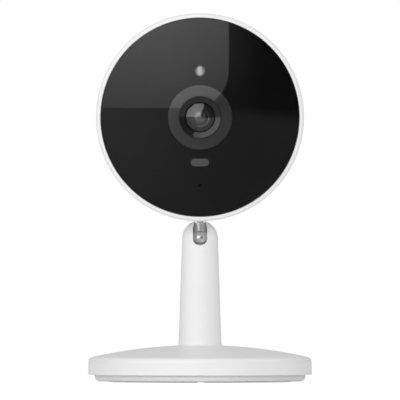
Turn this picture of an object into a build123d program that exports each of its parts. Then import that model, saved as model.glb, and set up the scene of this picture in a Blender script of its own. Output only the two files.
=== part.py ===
from build123d import *
import os
from math import asin, cos, degrees, radians, sin, sqrt

# A round indoor security camera on a slotted ball-joint stand, as separate pieces.
# Millimetres. +Z is up, the window faces -Y, and the origin is under the middle of the base,
# on the surface that the camera stands on.

os.makedirs("parts", exist_ok=True)

# Driving dimensions: the whole camera
TOTAL_HEIGHT = 109.0
HEAD_RADIUS = 30.75
HEAD_Z = TOTAL_HEIGHT - HEAD_RADIUS
BASE_RADIUS = 33.2
BASE_TOP = 10.85
FIT = 0.05

# Driving dimensions: the stand
PAD_PROUD = 0.18
PLATE_RADIUS = 31.2
PLATE_TOP = 2.7
DOME_RADIUS = 146.0
BASE_BOTTOM = 2.05
BASE_WALL = 1.7
LOCK_COUNT = 3
LOCK_ARC = 24.0
WALL_HOLE_SPACING = 34.0
WALL_HOLE_RADIUS = 2.0
NECK_SEAT_Z = 10.65
NECK_FOOT_RADIUS = 6.45
NECK_LOW_RADIUS = 6.32
NECK_TOP_RADIUS = 5.3
NECK_TOP_Z = 47.15
NUT_TOP = 8.45
NUT_BOTTOM = 4.45
WEIGHT_BOTTOM = 4.05
WEIGHT_TOP = 6.45

# Driving dimensions: the ball joint
BALL_Z = 42.45
BALL_RADIUS = 2.9
STEM_RADIUS = 1.95
SLOT_RADIUS = 2.1
BACK_LEAN = 20.0
STUD_TOP = 56.2
BOSS_TOP = 53.6

# Driving dimensions: the head, as depths along Y from the rim at the front to the flat back
RIM_FRONT = -13.0
HEAD_BACK = 14.0
BACK_EDGE = 9.5
HEAD_WALL = 2.0
WINDOW_RADIUS = 29.35
WINDOW_FRONT = -12.8
WINDOW_BACK = -11.2
FRAME_FRONT = -11.0
FRAME_BACK = -9.4
LED_BOARD_FRONT = -8.4
LED_BOARD_BACK = -7.4
BOARD_FRONT = 2.4
BOARD_BACK = 3.6
BOARD_RADIUS = 24.0
POST_OFFSET = 15.6
HOOD_RADIUS = 9.5
BARREL_RADIUS = 6.25
BARREL_FRONT = -12.6
THREAD_RADIUS = 5.9
LENS_RADIUS = 4.45
LENS_FRONT = -12.2
STOP_BACK = -7.8
LED_UP = 13.68
PIPE_DOWN = 13.35
MIC_DOWN = 20.2
INLET_DOWN = 17.0
SPEAKER_UP = 6.0
RESET_RIGHT = 11.0
RESET_DOWN = 14.0
CARD_Y = 4.75
FILTER_STEP = 6.0


def facing(depth):
    """The plane across the head at a depth, looking out of the front and centred on the lens."""
    return Plane(origin=(0, depth, HEAD_Z), x_dir=(1, 0, 0), z_dir=(0, -1, 0))


def radial(angle):
    """The upright plane through the stand's axis whose X runs outwards at an angle."""
    turn = radians(angle)
    return Plane(origin=(0, 0, 0), x_dir=(cos(turn), sin(turn), 0), z_dir=(sin(turn), -cos(turn), 0))


HEAD_PROFILE = Plane(origin=(0, 0, HEAD_Z), x_dir=(0, 1, 0), z_dir=(1, 0, 0))
HEAD_AXIS = Axis((0, 0, HEAD_Z), (0, 1, 0))
LOCK_ANGLES = [90.0 + 360.0 / LOCK_COUNT * i for i in range(LOCK_COUNT)]
POSTS = [(x, z) for x in (-POST_OFFSET, POST_OFFSET) for z in (-POST_OFFSET, POST_OFFSET)]


def outer_cup():
    """Half the housing's outside: a tube with a rounded back edge and a flat back."""
    edge_y = HEAD_BACK - BACK_EDGE
    Polyline((edge_y, HEAD_RADIUS), (RIM_FRONT, HEAD_RADIUS), (RIM_FRONT, 0), (HEAD_BACK, 0))
    Line((HEAD_BACK, 0), (HEAD_BACK, HEAD_RADIUS - BACK_EDGE))
    CenterArc((edge_y, HEAD_RADIUS - BACK_EDGE), BACK_EDGE, 0, 90)


def inner_cup():
    """Half the housing's inside: a tube, three facets along the back edge and a flat back."""
    front = RIM_FRONT - 1.0
    bend = BACK_EDGE - HEAD_WALL
    edge_y = HEAD_BACK - BACK_EDGE
    edge_r = HEAD_RADIUS - BACK_EDGE
    turns = [radians(angle) for angle in (0, 30, 60, 90)]
    facets = [(edge_y + bend * cos(turn), edge_r + bend * sin(turn)) for turn in turns]
    Polyline(*facets, (front, HEAD_RADIUS - HEAD_WALL), (front, 0), (HEAD_BACK - HEAD_WALL, 0), facets[0])


def forward_dome(vertex, rim, sag):
    """An arc of a lens surface that bulges forwards, from the lens axis out to its rim."""
    curve = (rim**2 + sag**2) / (2 * sag)
    CenterArc((vertex + curve, 0), curve, 180.0, -degrees(asin(rim / curve)))


# Wall plate: a twist-lock plate with three hooked lugs, two screw holes and a groove for the pad. It is
# smaller than the base shell, which leaves a shadow line under the shell's edge
with BuildPart() as wall_plate:
    with BuildSketch(Plane.XZ):
        with BuildLine():
            bevel = [(PLATE_RADIUS - 1.0, PAD_PROUD), (PLATE_RADIUS - 0.3, PAD_PROUD + 0.35)]
            Polyline((0, PAD_PROUD), *bevel, (PLATE_RADIUS, PAD_PROUD + 0.9), (PLATE_RADIUS, PLATE_TOP))
            Polyline((PLATE_RADIUS, PLATE_TOP), (0, PLATE_TOP), (0, PAD_PROUD))
        make_face()
    revolve(axis=Axis.Z)
    with BuildSketch(Plane.XY.offset(PAD_PROUD)):
        Circle(27.0)
        Circle(21.0, mode=Mode.SUBTRACT)
    extrude(amount=0.45, mode=Mode.SUBTRACT)
    for angle in LOCK_ANGLES:
        with BuildSketch(radial(angle - LOCK_ARC / 2)):
            with BuildLine():
                Polyline((26.2, PLATE_TOP - 0.2), (28.0, PLATE_TOP - 0.2), (28.0, 4.1), (30.2, 4.1))
                Polyline((30.2, 4.1), (30.2, 5.2), (26.2, 5.2), (26.2, PLATE_TOP - 0.2))
            make_face()
        revolve(axis=Axis.Z, revolution_arc=LOCK_ARC)
        with BuildSketch(radial(angle - LOCK_ARC / 2 - 3.2)):
            with Locations((28.2, 3.85)):
                Rectangle(4.0, 2.7)
        revolve(axis=Axis.Z, revolution_arc=2.6)
    with BuildSketch(Plane.XY.offset(PAD_PROUD)):
        with GridLocations(WALL_HOLE_SPACING, 0, 2, 1):
            Circle(WALL_HOLE_RADIUS)
    extrude(amount=PLATE_TOP, mode=Mode.SUBTRACT)

# Foot pad: a soft ring in the plate's groove, with a shallow vent notch at the front
with BuildPart() as foot_pad:
    with BuildSketch(Plane.XY):
        Circle(26.9)
        Circle(21.1, mode=Mode.SUBTRACT)
    extrude(amount=PAD_PROUD + 0.45)
    with BuildSketch(Plane.XY):
        with Locations((0.2, -24.0)):
            Rectangle(2.2, 8.0)
    extrude(amount=0.5, mode=Mode.SUBTRACT)
    chamfer(foot_pad.edges().filter_by(GeomType.CIRCLE).group_by(Axis.Z)[0], 0.1)

# Base shell: a low dome with a drafted side, bosses for the weight and ledges for the twist lock
with BuildPart() as base_shell:
    dome_y = BASE_TOP - DOME_RADIUS
    side_top = dome_y + sqrt(DOME_RADIUS**2 - (BASE_RADIUS - 0.15) ** 2)
    inner_dome = DOME_RADIUS - BASE_WALL
    inner_wall = BASE_RADIUS - BASE_WALL
    inner_top = dome_y + sqrt(inner_dome**2 - inner_wall**2)
    crown = BASE_TOP - BASE_WALL
    with BuildSketch(Plane.XZ) as base_half:
        with BuildLine():
            dome_lean = degrees(asin((BASE_RADIUS - 0.15) / DOME_RADIUS))
            CenterArc((0, dome_y), DOME_RADIUS, 90.0 - dome_lean, dome_lean)
            Line((BASE_RADIUS - 0.15, side_top), (BASE_RADIUS, BASE_BOTTOM))
            Polyline((BASE_RADIUS, BASE_BOTTOM), (inner_wall, BASE_BOTTOM), (inner_wall, inner_top))
            Polyline((inner_wall, inner_top), (12.0, crown - 0.45), (0, crown - 0.45), (0, BASE_TOP))
        make_face()
        fillet(base_half.vertices().sort_by_distance((BASE_RADIUS, side_top, 0))[0], 1.6)
        chamfer(base_half.vertices().sort_by_distance((BASE_RADIUS, BASE_BOTTOM, 0))[0], 0.15)
    revolve(axis=Axis.Z)
    with BuildSketch(Plane.XY.offset(NUT_TOP)):
        Circle(9.4)
    extrude(amount=1.2)
    with BuildSketch(Plane.XY.offset(WEIGHT_TOP)):
        with PolarLocations(18.0, 3, start_angle=30.0):
            Circle(2.3)
    extrude(amount=2.0)
    for angle in LOCK_ANGLES:
        with BuildSketch(radial(angle - LOCK_ARC / 2)):
            with Locations((30.05, PLATE_TOP + 0.65)):
                Rectangle(3.3, 1.3)
        revolve(axis=Axis.Z, revolution_arc=LOCK_ARC)
    with BuildSketch(Plane.XY.offset(NECK_SEAT_Z)):
        Circle(NECK_FOOT_RADIUS + FIT)
    extrude(amount=1.0, mode=Mode.SUBTRACT)
    with BuildSketch(Plane.XY.offset(5.0)) as neck_hole:
        Circle(5.0 + FIT)
        with Locations((0, 4.3 + FIT + 2.0)):
            Rectangle(12.0, 4.0, mode=Mode.SUBTRACT)
    extrude(amount=8.0, mode=Mode.SUBTRACT)
    with BuildSketch(Plane.XY.offset(WEIGHT_TOP)):
        with PolarLocations(18.0, 3, start_angle=30.0):
            Circle(0.85)
    extrude(amount=1.7, mode=Mode.SUBTRACT)

# Base weight: a steel ring screwed up under the dome
with BuildPart() as base_weight:
    with BuildSketch(Plane.XY.offset(WEIGHT_BOTTOM)):
        Circle(25.4)
        Circle(10.2, mode=Mode.SUBTRACT)
        with PolarLocations(18.0, 3, start_angle=30.0):
            Circle(1.2, mode=Mode.SUBTRACT)
    extrude(amount=WEIGHT_TOP - WEIGHT_BOTTOM)

# Weight screws: three pan heads with cross recesses
with BuildPart() as weight_screws:
    with BuildSketch(Plane.XY.offset(WEIGHT_BOTTOM - 1.0)):
        with PolarLocations(18.0, 3, start_angle=30.0):
            Circle(2.0)
    extrude(amount=1.0)
    with BuildSketch(Plane.XY.offset(WEIGHT_BOTTOM)):
        with PolarLocations(18.0, 3, start_angle=30.0):
            Circle(0.8)
    extrude(amount=3.8)
    with BuildSketch(Plane.XY.offset(WEIGHT_BOTTOM - 1.0)):
        with PolarLocations(18.0, 3, start_angle=30.0):
            Rectangle(2.2, 0.5)
            Rectangle(0.5, 2.2)
    extrude(amount=0.6, mode=Mode.SUBTRACT)

# Neck: a tapered column that ends in a half ball, bored for the joint and slotted at the front
with BuildPart() as neck:
    cap_lean = degrees(asin((NECK_TOP_Z - BALL_Z) / NECK_TOP_RADIUS))
    cap_radius = sqrt(NECK_TOP_RADIUS**2 - (NECK_TOP_Z - BALL_Z) ** 2)
    with BuildSketch(Plane.XZ):
        with BuildLine():
            Polyline((0, NECK_SEAT_Z), (NECK_FOOT_RADIUS, NECK_SEAT_Z))
            RadiusArc((NECK_FOOT_RADIUS, NECK_SEAT_Z), (NECK_LOW_RADIUS, NECK_SEAT_Z + 1.3), -7.0)
            Line((NECK_LOW_RADIUS, NECK_SEAT_Z + 1.3), (NECK_TOP_RADIUS, BALL_Z))
            CenterArc((0, BALL_Z), NECK_TOP_RADIUS, 0, cap_lean)
            Polyline((cap_radius, NECK_TOP_Z), (0, NECK_TOP_Z), (0, NECK_SEAT_Z))
        make_face()
    revolve(axis=Axis.Z)
    with BuildSketch(Plane.XY.offset(6.4)):
        Circle(5.0)
        with Locations((0, 4.3 + 2.0)):
            Rectangle(12.0, 4.0, mode=Mode.SUBTRACT)
    extrude(amount=NECK_SEAT_Z - 6.4)
    with BuildSketch(Plane.XZ):
        with BuildLine():
            Polyline((0, 5.0), (4.0, 5.0), (4.0, 30.0), (BALL_RADIUS + 2 * FIT, 31.4))
            Line((BALL_RADIUS + 2 * FIT, 31.4), (BALL_RADIUS + FIT, BALL_Z))
            CenterArc((0, BALL_Z), BALL_RADIUS + FIT, 0, 90)
            Line((0, BALL_Z + BALL_RADIUS + FIT), (0, 5.0))
        make_face()
    revolve(axis=Axis.Z, mode=Mode.SUBTRACT)
    with BuildSketch(Plane.XZ):
        with Locations((0, BALL_Z)):
            Circle(SLOT_RADIUS)
        with Locations((0, BALL_Z + 4.0)):
            Rectangle(2 * SLOT_RADIUS, 8.0)
    extrude(amount=9.0, mode=Mode.SUBTRACT)
    lean = radians(BACK_LEAN)
    with BuildSketch(Plane.YZ.offset(-SLOT_RADIUS)):
        with BuildLine():
            low = (SLOT_RADIUS / cos(lean), BALL_Z)
            high = (low[0] + 7.0 * sin(lean) / cos(lean), BALL_Z + 7.0)
            Polyline((-1.0, BALL_Z), low, high, (-1.0, BALL_Z + 7.0), (-1.0, BALL_Z))
        make_face()
    extrude(amount=2 * SLOT_RADIUS, mode=Mode.SUBTRACT)

# Neck nut: a hexagon nut on the neck's spigot, with a lip that carries the tension rod
with BuildPart() as neck_nut:
    with BuildSketch(Plane.XY.offset(NUT_BOTTOM)):
        RegularPolygon(8.6, 6)
        Circle(2.2, mode=Mode.SUBTRACT)
    extrude(amount=NUT_TOP - NUT_BOTTOM)
    with BuildSketch(Plane.XY.offset(NUT_BOTTOM + 1.3)):
        Circle(5.0 + FIT)
    extrude(amount=NUT_TOP - NUT_BOTTOM, mode=Mode.SUBTRACT)

# Tension rod: presses the disc springs up against the ball seat
SEAT_BOTTOM = 36.8
DISC_PITCH = 0.7
ROD_TOP = SEAT_BOTTOM - 2 * DISC_PITCH
with BuildPart() as tension_rod:
    with BuildSketch(Plane.XZ):
        with BuildLine():
            Polyline((0, NUT_BOTTOM + 1.3), (3.85, NUT_BOTTOM + 1.3), (3.85, 29.6), (2.8, 30.6))
            Polyline((2.8, 30.6), (2.8, ROD_TOP), (0, ROD_TOP), (0, NUT_BOTTOM + 1.3))
        make_face()
    revolve(axis=Axis.Z)

# Disc springs: two coned washers, set edge to edge
with BuildPart() as disc_springs:
    for i in range(2):
        foot = ROD_TOP + DISC_PITCH * i
        rise = 0.3 if i % 2 == 0 else 0.0
        fall = 0.3 - rise
        with BuildSketch(Plane.XZ):
            with BuildLine():
                Polyline((1.4, foot + rise), (2.75, foot + fall), (2.75, foot + fall + 0.38))
                Polyline((2.75, foot + fall + 0.38), (1.4, foot + rise + 0.38), (1.4, foot + rise))
            make_face()
        revolve(axis=Axis.Z)

# Ball seat: a cup under the ball
with BuildPart() as ball_seat:
    with BuildSketch(Plane.XY.offset(SEAT_BOTTOM)):
        Circle(BALL_RADIUS)
    extrude(amount=BALL_Z - 1.6 - SEAT_BOTTOM)
    contact = (BALL_RADIUS + FIT) * sqrt(2.0)
    with BuildSketch(Plane.XZ):
        with BuildLine():
            Polyline((0, BALL_Z - contact), (contact, BALL_Z), (0, BALL_Z), (0, BALL_Z - contact))
        make_face()
    revolve(axis=Axis.Z, mode=Mode.SUBTRACT)

# Ball stud: a ball, its round stem and a shank with a clip groove
with BuildPart() as ball_stud:
    neck_rise = sqrt(BALL_RADIUS**2 - STEM_RADIUS**2)
    stem_lean = degrees(asin(neck_rise / BALL_RADIUS))
    with BuildSketch(Plane.XZ):
        with BuildLine():
            CenterArc((0, BALL_Z), BALL_RADIUS, -90, 90.0 + stem_lean)
            Polyline((STEM_RADIUS, BALL_Z + neck_rise), (STEM_RADIUS, BOSS_TOP + 0.75), (1.45, BOSS_TOP + 0.75))
            Polyline((1.45, BOSS_TOP + 0.75), (1.45, BOSS_TOP + 1.45), (STEM_RADIUS, BOSS_TOP + 1.45))
            Polyline((STEM_RADIUS, BOSS_TOP + 1.45), (STEM_RADIUS, STUD_TOP - 0.4), (1.55, STUD_TOP))
            Polyline((1.55, STUD_TOP), (0, STUD_TOP), (0, BALL_Z - BALL_RADIUS))
        make_face()
    revolve(axis=Axis.Z)

# Stud washer: a flat washer between the boss and the clip
with BuildPart() as stud_washer:
    with BuildSketch(Plane.XY.offset(BOSS_TOP)):
        Circle(4.4)
        Circle(STEM_RADIUS + FIT, mode=Mode.SUBTRACT)
    extrude(amount=0.7)

# Stud clip: an open retaining ring in the stud's groove
with BuildPart() as stud_clip:
    with BuildSketch(Plane.XY.offset(BOSS_TOP + 0.8)):
        Circle(3.6)
        Circle(1.5, mode=Mode.SUBTRACT)
        with Locations((0, -2.6)):
            Rectangle(2.4, 4.0, mode=Mode.SUBTRACT)
        with Locations((2.6, 1.2), (-2.6, 1.2)):
            Circle(0.7, mode=Mode.SUBTRACT)
    extrude(amount=0.6)

# Housing: a white cup with a rounded rim, a crowned back, the stud boss and the rear openings
with BuildPart() as housing:
    with BuildSketch(HEAD_PROFILE) as cup_half:
        with BuildLine():
            outer_cup()
        make_face()
        fillet(cup_half.vertices().sort_by_distance((RIM_FRONT, HEAD_RADIUS, 0))[0], 1.0)
    revolve(axis=HEAD_AXIS)
    with BuildSketch(HEAD_PROFILE):
        with BuildLine():
            inner_cup()
        make_face()
    revolve(axis=HEAD_AXIS, mode=Mode.SUBTRACT)
    with BuildSketch(facing(FRAME_BACK)):
        Circle(WINDOW_RADIUS + 2 * FIT)
    extrude(amount=5.0, mode=Mode.SUBTRACT)
    rim_edges = housing.edges().filter_by(GeomType.CIRCLE).filter_by(lambda e: e.radius < HEAD_RADIUS - 1.0)
    chamfer(rim_edges.sort_by(Axis.Y)[0], 0.15)
    with BuildSketch(Plane.XY.offset(HEAD_Z - HEAD_RADIUS + 1.0)):
        Circle(5.2)
    extrude(amount=BOSS_TOP - HEAD_Z + HEAD_RADIUS - 1.0)
    with BuildSketch(Plane.XY.offset(40.0)):
        Circle(3.0 + FIT)
    extrude(amount=18.0, mode=Mode.SUBTRACT)
    with BuildSketch(facing(11.0)):
        with Locations((0, SPEAKER_UP)):
            Circle(9.4)
            Circle(7.4, mode=Mode.SUBTRACT)
    extrude(amount=-1.2)
    with BuildSketch(facing(15.0)):
        with Locations((0, SPEAKER_UP)):
            Circle(0.7)
            with PolarLocations(2.7, 6):
                Circle(0.7)
            with PolarLocations(5.4, 12):
                Circle(0.7)
    extrude(amount=6.0, mode=Mode.SUBTRACT)
    with BuildSketch(facing(15.0)):
        with Locations((0, -INLET_DOWN)):
            SlotOverall(9.6, 3.8)
        with Locations((RESET_RIGHT, -RESET_DOWN)):
            Circle(1.65)
    extrude(amount=6.0, mode=Mode.SUBTRACT)
    with BuildSketch(Plane(origin=(25, CARD_Y, HEAD_Z), x_dir=(0, 0, 1), z_dir=(1, 0, 0))):
        SlotOverall(13.0, 1.9)
    extrude(amount=8.0, mode=Mode.SUBTRACT)

# Stud bush: a flanged brass bush in the housing's boss
with BuildPart() as stud_bush:
    with BuildSketch(Plane.XY.offset(HEAD_Z - HEAD_RADIUS + 0.25)):
        Circle(3.0)
        Circle(STEM_RADIUS + FIT, mode=Mode.SUBTRACT)
    extrude(amount=BOSS_TOP - HEAD_Z + HEAD_RADIUS - 0.25)

# Front window: a clear disc with a softened front edge, the lens hole and the microphone hole
with BuildPart() as front_window:
    with BuildSketch(facing(WINDOW_BACK)):
        Circle(WINDOW_RADIUS)
    extrude(amount=WINDOW_BACK - WINDOW_FRONT)
    chamfer(front_window.edges().filter_by(GeomType.CIRCLE).sort_by(Axis.Y)[0], 0.12)
    with BuildSketch(facing(WINDOW_BACK)):
        Circle(BARREL_RADIUS + FIT)
        with Locations((0, -MIC_DOWN)):
            Circle(0.5)
    extrude(amount=3.0, mode=Mode.SUBTRACT)

# Window tape: a ring of adhesive between the window and the frame
with BuildPart() as window_tape:
    with BuildSketch(facing(FRAME_FRONT)):
        Circle(WINDOW_RADIUS - 0.1)
        Circle(WINDOW_RADIUS - 1.8, mode=Mode.SUBTRACT)
    extrude(amount=FRAME_FRONT - WINDOW_BACK - FIT)

# Front frame: the black mask behind the window, with a skirt and posts for the boards
with BuildPart() as front_frame:
    with BuildSketch(facing(FRAME_BACK)):
        Circle(WINDOW_RADIUS)
    extrude(amount=FRAME_BACK - FRAME_FRONT)
    with BuildSketch(facing(FRAME_BACK)):
        Circle(HEAD_RADIUS - HEAD_WALL - 0.1)
        Circle(HEAD_RADIUS - HEAD_WALL - 1.3, mode=Mode.SUBTRACT)
    extrude(amount=-3.0)
    with BuildSketch(facing(FRAME_BACK)):
        with Locations(*POSTS):
            Circle(3.2)
    extrude(amount=-(LED_BOARD_FRONT - FRAME_BACK))
    with BuildSketch(facing(FRAME_BACK)):
        with Locations(*POSTS):
            Circle(2.2)
    extrude(amount=-(BOARD_FRONT - FRAME_BACK))
    with BuildSketch(facing(BOARD_FRONT)):
        with Locations(*POSTS):
            Circle(0.85)
    extrude(amount=6.0, mode=Mode.SUBTRACT)
    with BuildSketch(facing(0.0)):
        Circle(HOOD_RADIUS)
        with Locations((0, LED_UP)):
            Circle(1.7)
        with Locations((0, -PIPE_DOWN)):
            SlotOverall(5.4, 2.3)
        with Locations((0, -MIC_DOWN)):
            Circle(0.5)
    extrude(amount=14.0, mode=Mode.SUBTRACT)

# Lens hood: the grey ring round the lens, on a sleeve that stands on the lens holder
HOLDER_FRONT = -5.0
with BuildPart() as lens_hood:
    with BuildSketch(facing(-9.6)):
        Circle(HOOD_RADIUS - FIT)
    extrude(amount=-9.6 - FRAME_FRONT)
    with BuildSketch(facing(HOLDER_FRONT)):
        Circle(7.6)
    extrude(amount=HOLDER_FRONT + 9.6)
    with BuildSketch(facing(0.0)):
        Circle(BARREL_RADIUS + FIT)
    extrude(amount=14.0, mode=Mode.SUBTRACT)

# Lens barrel: a threaded black barrel with a shallow coned mouth and stepped seats for the glass
with BuildPart() as lens_barrel:
    with BuildSketch(HEAD_PROFILE):
        with BuildLine():
            bore = LENS_RADIUS + FIT
            mouth = [(BARREL_FRONT + 0.8, bore), (BARREL_FRONT, BARREL_RADIUS - 0.15), (BARREL_FRONT, BARREL_RADIUS)]
            Polyline(mouth[-1], (-6.0, BARREL_RADIUS), (-6.0, THREAD_RADIUS), (-1.2, THREAD_RADIUS))
            Polyline((-1.2, THREAD_RADIUS), (-1.2, 3.1), (STOP_BACK, 3.1), (STOP_BACK, bore), *mouth)
        make_face()
    revolve(axis=HEAD_AXIS)

# Front lens: a meniscus, bulging forwards and hollowed behind
with BuildPart() as front_lens:
    with BuildSketch(HEAD_PROFILE):
        with BuildLine():
            forward_dome(LENS_FRONT, LENS_RADIUS, 0.95)
            Line((LENS_FRONT, 0), (LENS_FRONT + 0.9, 0))
            forward_dome(LENS_FRONT + 0.9, 3.1, 2.0)
            flange = LENS_FRONT + 2.9
            Polyline((flange, 3.1), (flange, LENS_RADIUS), (LENS_FRONT + 0.95, LENS_RADIUS))
        make_face()
    revolve(axis=HEAD_AXIS)

# Aperture stop: a black ring behind the front lens, with three steps that trap stray light
with BuildPart() as aperture_stop:
    stop_front = LENS_FRONT + 2.9
    with BuildSketch(facing(STOP_BACK)):
        Circle(LENS_RADIUS)
        Circle(1.5, mode=Mode.SUBTRACT)
    extrude(amount=STOP_BACK - stop_front)
    with BuildSketch(HEAD_PROFILE):
        with BuildLine():
            step = (STOP_BACK - 0.4 - stop_front) / 3
            stairs = []
            for i in range(3):
                stairs.append((stop_front + step * i, 2.75 - 0.4 * i))
                stairs.append((stop_front + step * (i + 1), 2.75 - 0.4 * i))
            Polyline((stop_front, 0), *stairs, (STOP_BACK - 0.4, 0), (stop_front, 0))
        make_face()
    revolve(axis=HEAD_AXIS, mode=Mode.SUBTRACT)

# Inner lenses: a biconvex element and a rear element
with BuildPart() as inner_lenses:
    with BuildSketch(HEAD_PROFILE):
        with BuildLine():
            middle = STOP_BACK + 0.2
            forward_dome(middle, 3.05, 0.8)
            Polyline((middle, 0), (middle + 2.0, 0), (middle + 2.0, 3.05), (middle + 0.8, 3.05))
        make_face()
    revolve(axis=HEAD_AXIS)
    with BuildSketch(HEAD_PROFILE):
        with BuildLine():
            forward_dome(-3.15, 3.05, 0.55)
            Polyline((-3.15, 0), (-1.7, 0), (-1.7, 3.05), (-2.6, 3.05))
        make_face()
    revolve(axis=HEAD_AXIS)

# Lens holder: a block with the barrel's bore, the filter's chamber and the sensor's pocket
with BuildPart() as lens_holder:
    with BuildSketch(facing(BOARD_FRONT)):
        RectangleRounded(22.0, 15.4, 1.5)
    extrude(amount=BOARD_FRONT - HOLDER_FRONT)
    with BuildSketch(facing(-1.1)):
        Circle(THREAD_RADIUS + FIT)
    extrude(amount=6.0, mode=Mode.SUBTRACT)
    with BuildSketch(facing(BOARD_FRONT)):
        Circle(3.2)
    extrude(amount=4.0, mode=Mode.SUBTRACT)
    with BuildSketch(facing(0.7)):
        Rectangle(19.6, 8.0)
    extrude(amount=1.2, mode=Mode.SUBTRACT)
    with BuildSketch(facing(BOARD_FRONT)):
        Rectangle(8.0, 8.0)
        with Locations((7.7, 0)):
            Rectangle(5.2, 6.2)
        with Locations((-9.3, 5.8), (9.3, -5.8)):
            Circle(0.75)
    extrude(amount=1.2, mode=Mode.SUBTRACT)
    with BuildSketch(facing(BOARD_FRONT)):
        with Locations((-9.3, 5.8), (9.3, -5.8)):
            Circle(0.75)
    extrude(amount=5.0, mode=Mode.SUBTRACT)

# Holder screws: two screws from behind the main board
with BuildPart() as holder_screws:
    with BuildSketch(facing(BOARD_BACK)):
        with Locations((-9.3, 5.8), (9.3, -5.8)):
            Circle(0.7)
    extrude(amount=5.4)
    with BuildSketch(facing(BOARD_BACK)):
        with Locations((-9.3, 5.8), (9.3, -5.8)):
            Circle(1.5)
    extrude(amount=-0.9)

# Filter slider: a thin carriage with two square windows
with BuildPart() as filter_slider:
    with BuildSketch(facing(0.55)):
        with Locations((FILTER_STEP / 2, 0)):
            Rectangle(12.6, 7.6)
        with Locations((0, 0), (FILTER_STEP, 0)):
            Rectangle(4.4, 4.4, mode=Mode.SUBTRACT)
    extrude(amount=0.9)
    with BuildSketch(facing(0.2)):
        with Locations((0, 0), (FILTER_STEP, 0)):
            Rectangle(5.2, 5.2)
    extrude(amount=0.6, mode=Mode.SUBTRACT)

# Infrared-cut glass: the day filter, in front of the sensor at rest
with BuildPart() as ir_cut_glass:
    with BuildSketch(facing(0.2)):
        Rectangle(5.1, 5.1)
    extrude(amount=0.45)

# Clear glass: the night filter beside it
with BuildPart() as clear_glass:
    with BuildSketch(facing(0.2)):
        with Locations((FILTER_STEP, 0)):
            Rectangle(5.1, 5.1)
    extrude(amount=0.45)

# Filter coil: a flat oval coil under the carriage
with BuildPart() as filter_coil:
    with BuildSketch(facing(BOARD_FRONT)):
        with Locations((7.7, 0)):
            SlotOverall(5.9, 4.4, rotation=90)
            SlotOverall(3.4, 1.6, rotation=90, mode=Mode.SUBTRACT)
    extrude(amount=1.0)

# Image sensor: a square chip under the lens
with BuildPart() as image_sensor:
    with BuildSketch(facing(BOARD_FRONT)):
        Rectangle(7.0, 7.0)
    extrude(amount=0.7)
    with BuildSketch(facing(BOARD_FRONT - 0.7)):
        Rectangle(6.0, 5.0)
    extrude(amount=0.35)

# Light board: a ring board behind the frame
with BuildPart() as led_board:
    with BuildSketch(facing(LED_BOARD_BACK)):
        Circle(24.5)
        Circle(10.6, mode=Mode.SUBTRACT)
        with Locations(*POSTS):
            Circle(2.35, mode=Mode.SUBTRACT)
    extrude(amount=LED_BOARD_BACK - LED_BOARD_FRONT)

# Infrared light: a square package with a domed lens
with BuildPart() as ir_led:
    with BuildSketch(facing(LED_BOARD_FRONT)):
        with Locations((0, LED_UP)):
            Rectangle(2.3, 2.3)
    extrude(amount=1.0)
    with BuildSketch(facing(LED_BOARD_FRONT - 1.0)):
        with Locations((0, LED_UP)):
            Circle(1.62)
    extrude(amount=1.1)
    fillet(ir_led.edges().filter_by(GeomType.CIRCLE).sort_by(Axis.Y)[0], 0.6)

# Status light: a small lamp behind the light pipe
with BuildPart() as status_led:
    with BuildSketch(facing(LED_BOARD_FRONT)):
        with Locations((0, -PIPE_DOWN)):
            Rectangle(1.6, 0.8)
    extrude(amount=0.5)

# Light pipe: an oblong diffuser with a flange behind the frame
with BuildPart() as light_pipe:
    with BuildSketch(facing(FRAME_BACK)):
        with Locations((0, -PIPE_DOWN)):
            SlotOverall(5.3, 2.2)
    extrude(amount=FRAME_BACK - FRAME_FRONT - 0.1)
    with BuildSketch(facing(FRAME_BACK + 0.5)):
        with Locations((0, -PIPE_DOWN)):
            SlotOverall(6.8, 3.4)
    extrude(amount=0.5)

# Microphone: a metal can with a sound port, on the light board
with BuildPart() as microphone:
    with BuildSketch(facing(LED_BOARD_FRONT)):
        with Locations((0, -MIC_DOWN)):
            Rectangle(3.6, 2.8)
    extrude(amount=0.6)
    with BuildSketch(facing(LED_BOARD_FRONT - 0.3)):
        with Locations((0, -MIC_DOWN)):
            Circle(0.35)
    extrude(amount=1.0, mode=Mode.SUBTRACT)

# Microphone gasket: a soft ring between the can and the frame
with BuildPart() as mic_gasket:
    with BuildSketch(facing(LED_BOARD_FRONT - 0.6)):
        with Locations((0, -MIC_DOWN)):
            Circle(1.35)
            Circle(0.6, mode=Mode.SUBTRACT)
    extrude(amount=0.4)

# Main board: a round board with a flat at the bottom
with BuildPart() as main_board:
    with BuildSketch(facing(BOARD_BACK)):
        Circle(BOARD_RADIUS)
        with Locations((0, -19.2 - 5.0)):
            Rectangle(50.0, 10.0, mode=Mode.SUBTRACT)
        with Locations(*POSTS):
            Circle(1.15, mode=Mode.SUBTRACT)
        with Locations((-9.3, 5.8), (9.3, -5.8)):
            Circle(0.8, mode=Mode.SUBTRACT)
    extrude(amount=BOARD_BACK - BOARD_FRONT)

# Board screws: four screws into the frame's posts
with BuildPart() as board_screws:
    with BuildSketch(facing(BOARD_BACK)):
        with Locations(*POSTS):
            Circle(0.8)
    extrude(amount=6.2)
    with BuildSketch(facing(BOARD_BACK)):
        with Locations(*POSTS):
            Circle(1.9)
    extrude(amount=-1.1)

# Board chips: the processor, its memory and the power chip
with BuildPart() as board_chips:
    with BuildSketch(facing(BOARD_BACK)):
        with Locations((-2.4, 7.0)):
            Rectangle(9.0, 9.0)
        with Locations((-4.0, -6.0)):
            Rectangle(8.0, 10.0)
        with Locations((-14.0, -6.5)):
            Rectangle(4.0, 4.0)
    extrude(amount=-1.0)

# Radio can: a shielded radio module
with BuildPart() as radio_can:
    with BuildSketch(facing(BOARD_BACK)):
        with Locations((-16.0, 4.5)):
            Rectangle(9.0, 11.0)
    extrude(amount=-1.4)

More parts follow.
